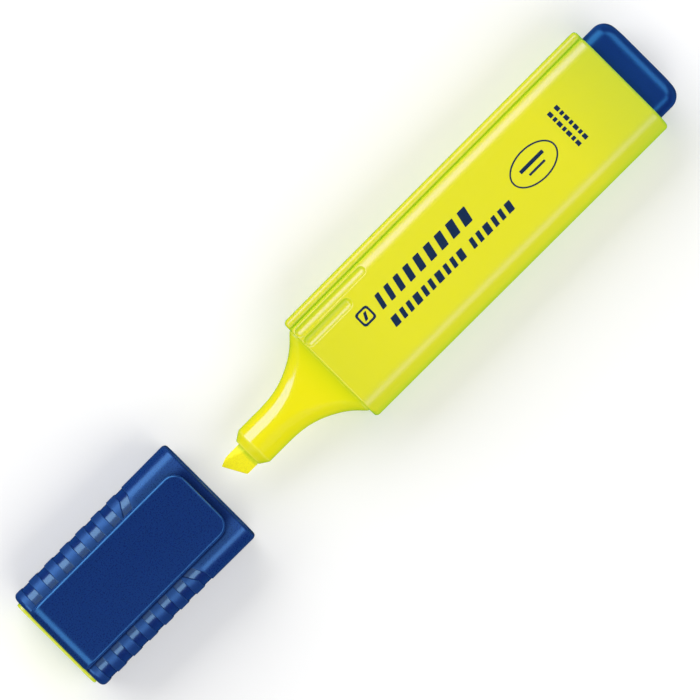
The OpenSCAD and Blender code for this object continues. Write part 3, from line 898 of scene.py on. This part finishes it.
class Shader:
    """A Principled material, with short ways to add nodes. Inputs take values or sockets."""

    def __init__(self, name):
        self.material = bpy.data.materials.new(name)
        self.material.use_nodes = True
        self.tree = self.material.node_tree
        self.tree.nodes.clear()
        output = self.add("ShaderNodeOutputMaterial")
        self.principled = self.add("ShaderNodeBsdfPrincipled")
        self.feed(output.inputs[0], self.principled.outputs[0])

    @cached_property
    def position(self):
        return self.add("ShaderNodeTexCoord").outputs["Object"]

    def feed(self, socket, value):
        if isinstance(value, bpy.types.NodeSocket):
            self.tree.links.new(value, socket)
        else:
            socket.default_value = value

    def add(self, kind, inputs=None, **settings):
        node = self.tree.nodes.new(kind)
        for key, value in settings.items():
            setattr(node, key, value)
        for key, value in (inputs or {}).items():
            self.feed(node.inputs[key], value)
        return node

    def surface(self, inputs):
        for key, value in inputs.items():
            self.feed(self.principled.inputs[key], value)

    def attribute(self, name):
        return self.add("ShaderNodeAttribute", attribute_name=name).outputs["Fac"]

    def noise(self, scale, detail=2, roughness=0.5, stretch=None):
        source = self.position
        if stretch:
            mapping = {"Vector": source, "Scale": stretch}
            source = self.add("ShaderNodeMapping", mapping).outputs[0]
        return self.add("ShaderNodeTexNoise", {
            "Scale": scale, "Detail": detail, "Roughness": roughness, "Vector": source,
        }).outputs["Fac"]

    def ramp(self, value, source=(0, 1), to=(0, 1)):
        """Maps the range `source` to the range `to`, clamped."""
        return self.add("ShaderNodeMapRange", {
            "From Min": source[0], "From Max": source[1], "To Min": to[0], "To Max": to[1],
            "Value": value,
        }).outputs[0]

    def mix(self, factor, a, b, blend="MIX"):
        return self.add("ShaderNodeMix", {0: factor, 6: a, 7: b},
                        data_type="RGBA", blend_type=blend).outputs[2]

    def mix_float(self, factor, a, b):
        return self.add("ShaderNodeMix", {0: factor, 2: a, 3: b}, data_type="FLOAT").outputs[0]

    def bump(self, height, strength, distance, below=None):
        inputs = {"Strength": strength, "Distance": distance, "Height": height}
        if below is not None:
            inputs["Normal"] = below
        return self.add("ShaderNodeBump", inputs).outputs[0]

    def turned_away(self):
        """Rises to 1 where the surface turns away from the view."""
        return self.add("ShaderNodeLayerWeight", {"Blend": 0.5}).outputs["Facing"]

    def edge_wear_and_sheen(self, amount):
        """The stored edge amount for scuffing and the painted edge highlight, broken up by noise."""
        wear_and_sheen = self.attribute("wear_and_sheen")
        patches = self.ramp(self.noise(scale=420, detail=3, roughness=0.6),
                            source=(0.35, 0.65), to=(0.35, 1.0))
        product = self.add("ShaderNodeMath", {0: wear_and_sheen, 1: patches}, operation="MULTIPLY")
        return self.ramp(product.outputs[0], to=(0, amount))


PAINTED_GLOW = (0.02, 0.26, 0.006, 1.0)               # painted glow: green emission that lifts the sides turned from the light, standing in for their greener shade


def yellow_plastic(name, face, edge, rough, ends=None, ior=1.6,
                   tint=(0.64, 0.46, 1.0, 1.0), wear_and_sheen=0.16, painted_glow=PAINTED_GLOW):
    """Fluorescent moulded plastic: faint flow marks, scuffed edges, painted shade, and a painted
    green emission that lifts the shaded sides.

    `ends` holds the colours at the barrel's front and rear: painted shade, darker towards both ends.
    """
    k = Shader(name)
    base = face
    # painted shade: the base colour darkens towards the barrel's front and rear
    if ends is not None:
        xyz = k.add("ShaderNodeSeparateXYZ", {0: k.position})
        front = (SHOULDER * MM, (SHOULDER + 16) * MM)
        rear = ((SHOULDER + 65) * MM, (SHOULDER + 83) * MM)
        base = k.mix(k.ramp(xyz.outputs["X"], source=front), ends[0], face)
        base = k.mix(k.ramp(xyz.outputs["X"], source=rear), base, ends[1])
    flow = k.noise(scale=55, detail=3, stretch=(0.25, 1, 1))
    base = k.mix(k.ramp(flow, source=(0.35, 0.65), to=(0, 0.15)), base,
                 scaled(face, factor=1.07, limit=0.96))
    # scuffed edges; on the nose the same edge colour paints a highlight line along the snout's bevel
    colour = k.mix(k.edge_wear_and_sheen(wear_and_sheen), base, edge)
    # painted shade: darker olive where the surface turns away from the view, along the silhouette
    away = k.ramp(k.turned_away(), source=(0.40, 0.85), to=(0.0, 0.75))
    colour = k.mix(away, colour, (0.52, 0.50, 0.03, 1.0))
    # painted shade from the stored attribute: darker and greener, and with weaker reflections below
    shade = k.attribute("shade")
    colour = k.mix(shade, colour, (0.64, 0.76, 1.0, 1.0), blend="MULTIPLY")
    fine = k.bump(k.noise(scale=2400), strength=0.5, distance=0.000002)
    waves = k.noise(scale=120, stretch=(0.4, 1, 1))
    k.surface({
        "Base Color": colour,
        "IOR": ior,
        "Roughness": k.ramp(k.noise(scale=700), source=(0.3, 0.7),
                            to=(rough - 0.02, rough + 0.02)),
        # painted glow: emission that lifts the shaded sides towards green
        "Emission Color": painted_glow,
        "Emission Strength": 1.0,
        "Specular IOR Level": k.ramp(shade, to=(1.0, 0.06)),
        "Specular Tint": tint,
        "Normal": k.bump(waves, strength=0.10, distance=0.00004, below=fine),
    })
    return k.material


def blue_plastic(name, face, light, rough, grain, recessed=False,
                 tint=(0.17, 0.48, 1.0, 1.0), sheen_colour=(0.006, 0.042, 0.20, 1.0)):
    """Moulded plastic with a fine grain, paler along scuffed edges, a painted sheen where the
    surface turns away from the view, and painted shadow where the stored shade lies.

    `recessed` makes the stored recesses smooth and the bands between them matt.
    """
    k = Shader(name)
    mottle = k.ramp(k.noise(scale=5200, roughness=0.6), source=(0.30, 0.70))
    base = k.mix(mottle, scaled(face, factor=0.62), scaled(face, factor=1.38))
    flow = k.noise(scale=40, detail=3, stretch=(0.3, 1, 1))
    base = k.mix(k.ramp(flow, source=(0.35, 0.65), to=(0.0, 0.06)), base, light)
    # painted sheen: the colour goes lighter where the surface turns away from the view
    base = k.mix(k.ramp(k.turned_away(), source=(0.18, 0.60)), base, sheen_colour)
    colour = k.mix(k.edge_wear_and_sheen(0.35), base, light)
    # painted shadow from the stored attribute, with weaker reflections
    shade = k.attribute("shade")
    colour = k.mix(shade, colour, (0.30, 0.36, 0.46, 1.0), blend="MULTIPLY")
    roughness = k.ramp(k.noise(scale=3600), source=(0.3, 0.7), to=(rough - 0.02, rough + 0.03))
    fine_strength, cell_strength = grain, grain * 0.7
    if recessed:
        recess = k.attribute("recess")
        fine_strength = k.ramp(recess, to=(fine_strength, 0.04))
        cell_strength = k.ramp(recess, to=(cell_strength, 0.0))
        roughness = k.mix_float(recess, roughness, 0.20)
        roughness = k.mix_float(k.attribute("band"), roughness, 0.42)
        tint = k.mix(recess, tint, (0.38, 0.70, 1.0, 1.0))
    cells = k.add("ShaderNodeTexVoronoi", {"Scale": 3400, "Vector": k.position})
    fine = k.bump(k.noise(scale=2800), strength=fine_strength, distance=0.000009)
    k.surface({
        "Base Color": colour,
        "IOR": 1.8,
        "Specular IOR Level": k.ramp(shade, to=(0.9, 0.15)),
        "Specular Tint": tint,
        "Roughness": roughness,
        "Normal": k.bump(cells.outputs["Distance"], strength=cell_strength,
                         distance=0.000005, below=fine),
    })
    return k.material


def fibre(name, face, dark, painted_glow):
    """Bonded fibre wet with ink: fine strands along the bar and darker pores, painted shade where
    the stored shade lies, and a painted emission of its own colour that brightens it.
    """
    k = Shader(name)
    strands = k.noise(scale=2600, detail=5, roughness=0.7, stretch=(0.12, 1, 1))
    pores = k.noise(scale=3800, detail=4, roughness=0.7)
    base = k.mix(k.ramp(pores, source=(0.42, 0.62)), dark, face)
    colour = k.mix(k.ramp(strands, source=(0.35, 0.65), to=(0, 0.45)), base, dark)
    # painted shade where the bar enters the nose
    colour = k.mix(k.attribute("shade"), colour, (0.66, 0.82, 1.0, 1.0), blend="MULTIPLY")
    pitted = k.bump(pores, strength=0.55, distance=0.00012)
    k.surface({
        "Base Color": colour,
        "Roughness": 0.78,
        # painted light: the fibre emits its own colour
        "Emission Color": colour,
        "Emission Strength": painted_glow,
        "Normal": k.bump(strands, strength=0.45, distance=0.00010, below=pitted),
    })
    return k.material


def print_ink(name, face, light):
    k = Shader(name)
    patches = k.ramp(k.noise(scale=2500, detail=4, roughness=0.7),
                     source=(0.35, 0.7), to=(0, 0.35))
    k.surface({
        "Base Color": k.mix(patches, face, light),
        "Specular IOR Level": 0.3,
        "Roughness": k.ramp(k.noise(scale=1800, detail=3, roughness=0.6),
                            source=(0.3, 0.7), to=(0.32, 0.5)),
        "Normal": k.bump(k.noise(scale=3000, detail=3, roughness=0.6),
                         strength=0.15, distance=0.00003),
    })
    return k.material


def film(name):
    k = Shader(name)
    k.surface({
        "Base Color": srgb(215, 225, 205),
        "Alpha": 0.45,
        "Roughness": k.ramp(k.noise(scale=700, detail=3, roughness=0.6),
                            source=(0.3, 0.7), to=(0.12, 0.25)),
        "Normal": k.bump(k.noise(scale=300, detail=3, roughness=0.6, stretch=(0.2, 1, 1)),
                         strength=0.3, distance=0.0001),
    })
    return k.material


def give(ob, material):
    ob.data.materials.clear()
    ob.data.materials.append(material)


# the `ends` colours paint shade towards the barrel's front and rear
BARREL_YELLOW = yellow_plastic(
    "barrel_yellow_mat", face=(0.755, 0.500, 0.003, 1), edge=(0.84, 0.68, 0.05, 1), rough=0.24,
    ends=((0.70, 0.465, 0.003, 1), (0.575, 0.415, 0.018, 1)), wear_and_sheen=0.08)
# on the nose the pale edge colour paints a highlight line along the snout's bevel, and its stronger
# emission is painted light that flattens the shading
NOSE_YELLOW = yellow_plastic(
    "nose_yellow_mat", face=(0.785, 0.555, 0.001, 1), edge=(0.92, 0.80, 0.30, 1), rough=0.13,
    ior=1.75, tint=(0.2, 0.32, 1.0, 1.0), wear_and_sheen=0.30, painted_glow=(0.12, 0.27, 0.004, 1.0))
INSERT_YELLOW = yellow_plastic(
    "insert_yellow_mat", face=(0.80, 0.54, 0.006, 1), edge=(0.86, 0.80, 0.14, 1), rough=0.22)
CAP_BLUE = blue_plastic(
    "cap_blue_mat", face=(0.0036, 0.0180, 0.148, 1), light=(0.030, 0.10, 0.34, 1),
    rough=0.28, grain=1.0, recessed=True)
CLIP_BLUE = blue_plastic(
    "clip_blue_mat", face=(0.0037, 0.0146, 0.128, 1), light=(0.028, 0.096, 0.33, 1),
    rough=0.28, grain=1.0, tint=(0.12, 0.49, 1.0, 1.0))
PLUG_BLUE = blue_plastic(
    "plug_blue_mat", face=(0.0023, 0.0046, 0.128, 1), light=(0.024, 0.086, 0.32, 1),
    rough=0.36, grain=0.8, tint=(0.07, 0.47, 1.0, 1.0), sheen_colour=(0.005, 0.046, 0.24, 1.0))
NIB_FIBRE = fibre(
    "nib_fibre_mat", face=(0.97, 0.86, 0.004, 1), dark=(0.80, 0.73, 0.004, 1), painted_glow=0.16)
RESERVOIR_FIBRE = fibre(
    "reservoir_fibre_mat", face=srgb(232, 232, 60), dark=srgb(200, 200, 40), painted_glow=0.04)
PRINT_NAVY = print_ink(
    "print_navy_mat", face=(0.0010, 0.017, 0.066, 1), light=(0.004, 0.034, 0.11, 1))
CLEAR_FILM = film("clear_film_mat")

# ---------------------------------------------------------------- pieces
barrel = build_barrel()
give(barrel, BARREL_YELLOW)
shade_barrel(barrel)
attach(barrel, "barrel")
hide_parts("barrel")

marks = build_print()
give(marks, PRINT_NAVY)
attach(marks, "barrel")

nose = build_nose()
give(nose, NOSE_YELLOW)
shade_nose(nose)
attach(nose, "barrel")
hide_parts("nose")

nib = build_nib()
give(nib, NIB_FIBRE)
shade_nib(nib)
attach(nib, "barrel")
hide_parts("nib")

plug = build_plug()
give(plug, PLUG_BLUE)
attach(plug, "barrel")
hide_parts("rear_plug")

shell = build_cap()
give(shell, CAP_BLUE)
shade_cap(shell)
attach(shell, "cap")
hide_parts("cap_shell")

insert = build_insert()
give(insert, INSERT_YELLOW)
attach(insert, "cap")
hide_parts("cap_insert")

clip = build_clip()
give(clip, CLIP_BLUE)
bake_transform(clip)
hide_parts("cap_clip")

for piece in (barrel, plug, shell, clip, insert):
    store_wear_and_sheen(piece)
# on the nose the stored edge amount paints a highlight line along the snout's bevel
store_wear_and_sheen(nose, low=0.25, high=0.9)
give(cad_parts["ink_reservoir"], RESERVOIR_FIBRE)
give(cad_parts["reservoir_film"], CLEAR_FILM)

# ---------------------------------------------------------------- floor (metres from here on)
FLOOR_HALF, FLOOR_Z, FLOOR_CELLS = 1.6, -0.00015, 24
BACKDROP = 0.94                               # brightness of the pale surroundings


def build_floor():
    n = FLOOR_CELLS
    line = [(i / n - 0.5) * 2 * FLOOR_HALF for i in range(n + 1)]
    verts = [(x, y, FLOOR_Z) for y in line for x in line]
    corners = [j * (n + 1) + i for j in range(n) for i in range(n)]
    faces = [(c, c + 1, c + n + 2, c + n + 1) for c in corners]
    me = bpy.data.meshes.new("floor")
    me.from_pydata(verts, [], faces)
    ob = bpy.data.objects.new("floor", me)
    bpy.context.scene.collection.objects.link(ob)
    k = Shader("floor_mat")
    # past the lit area the floor goes over into the pale backdrop
    place = k.add("ShaderNodeNewGeometry").outputs["Position"]
    far = k.add("ShaderNodeVectorMath", {0: place}, operation="LENGTH").outputs["Value"]
    lit_to_far = (0.25, 0.80)
    k.surface({
        "Base Color": k.mix(k.ramp(far, source=lit_to_far), (0.80, 0.80, 0.80, 1), (0, 0, 0, 1)),
        "Emission Color": (1, 1, 1, 1),
        "Emission Strength": k.ramp(far, source=lit_to_far, to=(0.16, BACKDROP)),
        "Roughness": 0.9,
    })
    give(ob, k.material)
    ob.visible_glossy = False


build_floor()

# ---------------------------------------------------------------- lights
centre = Vector(((cad_box[0].x + cad_box[1].x) / 2, 0, AXIS_Z * MM))
SIZE_DISTANCE = 0.62                          # gloss box sizes are given for this distance


def softbox(name, at, along, across, radiance, pieces=None):
    """A rectangle aimed at the middle. With pieces it draws gloss on those only;
    without, it lights everything but draws no gloss."""
    light = bpy.data.lights.new(name, "AREA")
    light.shape = "RECTANGLE"
    light.size, light.size_y = along, across
    light.energy = radiance * math.pi * along * across
    ob = bpy.data.objects.new(name, light)
    bpy.context.scene.collection.objects.link(ob)
    ob.location = at
    # the first side stays along the pen
    z = -(centre - Vector(at)).normalized()
    x = Vector((1, 0, 0))
    x = (x - z * x.dot(z)).normalized()
    y = z.cross(x)
    ob.rotation_mode = "QUATERNION"
    ob.rotation_quaternion = Matrix((x, y, z)).transposed().to_quaternion()
    if pieces is None:
        ob.visible_glossy = False
        return
    ob.visible_diffuse = False
    group = bpy.data.collections.new(name + "_receivers")
    for piece in pieces:
        group.objects.link(piece)
    ob.light_linking.receiver_collection = group


def beside(degrees, distance, side):
    """A place tilted from straight above towards +Y (side 1) or -Y (side -1)."""
    a = math.radians(degrees)
    return (centre.x, side * math.sin(a) * distance, AXIS_Z * MM + math.cos(a) * distance)


def off_end(degrees, distance, end):
    """A place tilted from straight above towards +X (end 1) or -X (end -1)."""
    a = math.radians(degrees)
    return (centre.x + end * distance * math.sin(a), 0.0, AXIS_Z * MM + distance * math.cos(a))


softbox("left_fill", beside(54, 0.98, 1), along=1.50, across=0.95, radiance=2.35)
softbox("right_fill", beside(43, 0.98, -1), along=1.45, across=0.84, radiance=1.9)

# name, degrees from above, side in Y, size across, radiance, pieces
SIDE_BOXES = (
    ("left_box", 54, 1, 0.60, 2.5, (nose, nib, plug, clip, insert)),
    ("barrel_box", 45, 1, 0.37, 2.5, (barrel, marks)),
    ("cap_box", 50, 1, 0.42, 2.5, (shell,)),
    ("cap_low_box", 35, -1, 0.28, 1.9, (shell, clip, insert, plug)),
    ("cap_low_wide_box", 28, -1, 0.52, 0.35, (shell,)),
    ("cap_inner_box", 13, 1, 0.47, 0.60, (shell,)),
    ("clip_edge_box", 52, 1, 0.34, 1.3, (clip,)),
    ("barrel_low_box", 48, -1, 0.30, 0.95, (barrel, marks)),
)
# each box has its own distance, so that no two cut through each other
for i, (name, degrees, side, across, radiance, pieces) in enumerate(SIDE_BOXES):
    distance = 0.50 + 0.045 * i
    softbox(name, beside(degrees, distance, side), 0.92 * distance / SIZE_DISTANCE,
            across * distance / SIZE_DISTANCE, radiance, pieces)

# name, end in X, degrees from above, distance, size along, radiance, pieces
END_BOXES = (
    ("front_end_box", -1, 46, 0.53, 0.34, 2.3, (shell, clip, insert)),
    ("barrel_front_box", -1, 34, 0.70, 0.22, 2.0, (barrel,)),
    ("rear_end_box", 1, 60, 0.53, 0.36, 2.4, (plug, clip)),
    ("barrel_rear_box", 1, 60, 0.70, 0.30, 0.8, (barrel,)),
)
for name, end, degrees, distance, along, radiance, pieces in END_BOXES:
    softbox(name, off_end(degrees, distance, end), along * distance / SIZE_DISTANCE,
            0.40 * distance / SIZE_DISTANCE, radiance, pieces)


# ---------------------------------------------------------------- world
def build_world():
    """Even white light, with a brighter white where the camera sees it."""
    world = bpy.data.worlds.new("studio")
    bpy.context.scene.world = world
    world.use_nodes = True
    nodes, links = world.node_tree.nodes, world.node_tree.links
    nodes.clear()
    output = nodes.new("ShaderNodeOutputWorld")
    choice = nodes.new("ShaderNodeMixShader")
    links.new(nodes.new("ShaderNodeLightPath").outputs["Is Camera Ray"], choice.inputs[0])
    for socket, strength in ((1, 0.36), (2, BACKDROP)):
        background = nodes.new("ShaderNodeBackground")
        background.inputs["Color"].default_value = (1, 1, 1, 1)
        background.inputs["Strength"].default_value = strength
        links.new(background.outputs[0], choice.inputs[socket])
    links.new(choice.outputs[0], output.inputs[0])
    world.cycles_visibility.glossy = False


build_world()

# ---------------------------------------------------------------- camera
LENS, SENSOR = 400, 36
FIELD = 0.141                                 # what the square frame spans at FIELD_Z
FIELD_Z = 0.017


def build_camera():
    """Looks straight down, turned so that the pen runs diagonally."""
    data = bpy.data.cameras.new("camera")
    camera = bpy.data.objects.new("camera", data)
    bpy.context.scene.collection.objects.link(camera)
    data.lens = LENS
    data.sensor_width = SENSOR
    data.clip_start, data.clip_end = 0.05, 20
    distance = FIELD / 2 / math.tan(math.atan(SENSOR / 2 / LENS))
    camera.location = (centre.x, 0, FIELD_Z + distance)
    right, up = Vector((1, -1, 0)).normalized(), Vector((1, 1, 0)).normalized()
    camera.rotation_mode = "QUATERNION"
    turn = Matrix((right, up, Vector((0, 0, 1)))).transposed()
    camera.rotation_quaternion = turn.to_quaternion()
    bpy.context.scene.camera = camera


build_camera()
bpy.context.scene.view_settings.view_transform = "Standard"
bpy.context.scene.view_settings.look = "None"
